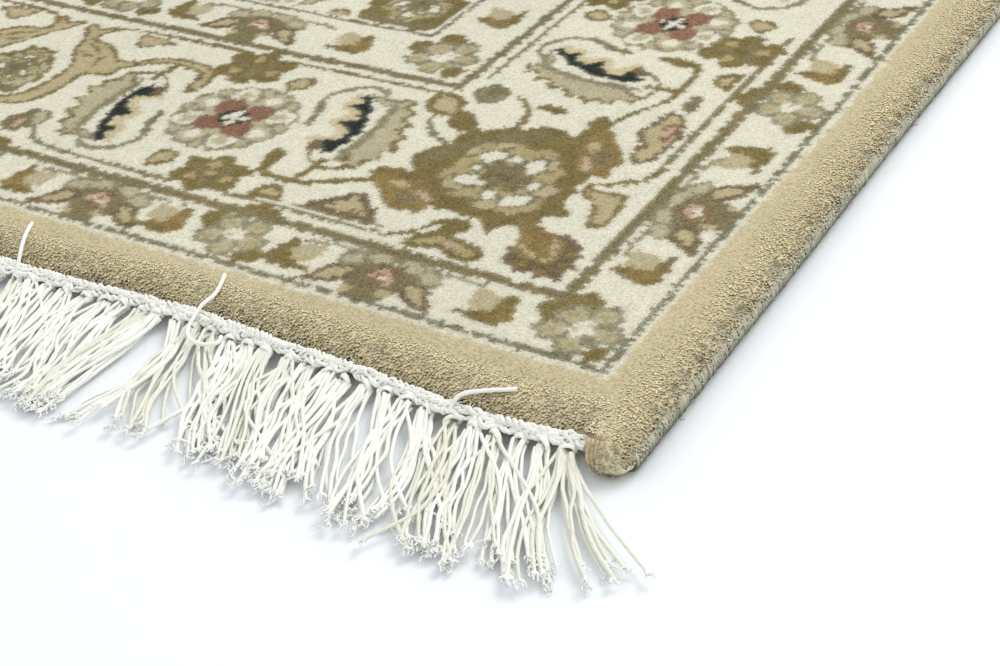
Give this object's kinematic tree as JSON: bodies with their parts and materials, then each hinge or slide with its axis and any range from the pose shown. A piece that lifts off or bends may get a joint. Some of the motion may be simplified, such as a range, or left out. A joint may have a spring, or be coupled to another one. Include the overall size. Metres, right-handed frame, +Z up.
{
  "type": "hand-knotted rug with fringed ends",
  "caption": "Flat rectangular wool pile rug with a flowered border, rounded side edges and a knotted cotton fringe along each short end.",
  "frame": {"origin": "on the floor, under the middle of the whole rug, fringes included", "axes": "+Y along the rug's length towards the far fringe, +X across it to the right, +Z up out of the pile"},
  "size_m": [1.0616, 1.6448, 0.0163],
  "materials": {
    "wool_pile": "matte cut wool pile",
    "cotton_yarn": "matte twisted cotton"
  },
  "bodies": {
    "root": {"knotted_rug": "wool_pile", "fringe_near_end": "cotton_yarn", "fringe_far_end": "cotton_yarn"}
  },
  "joints": []
}
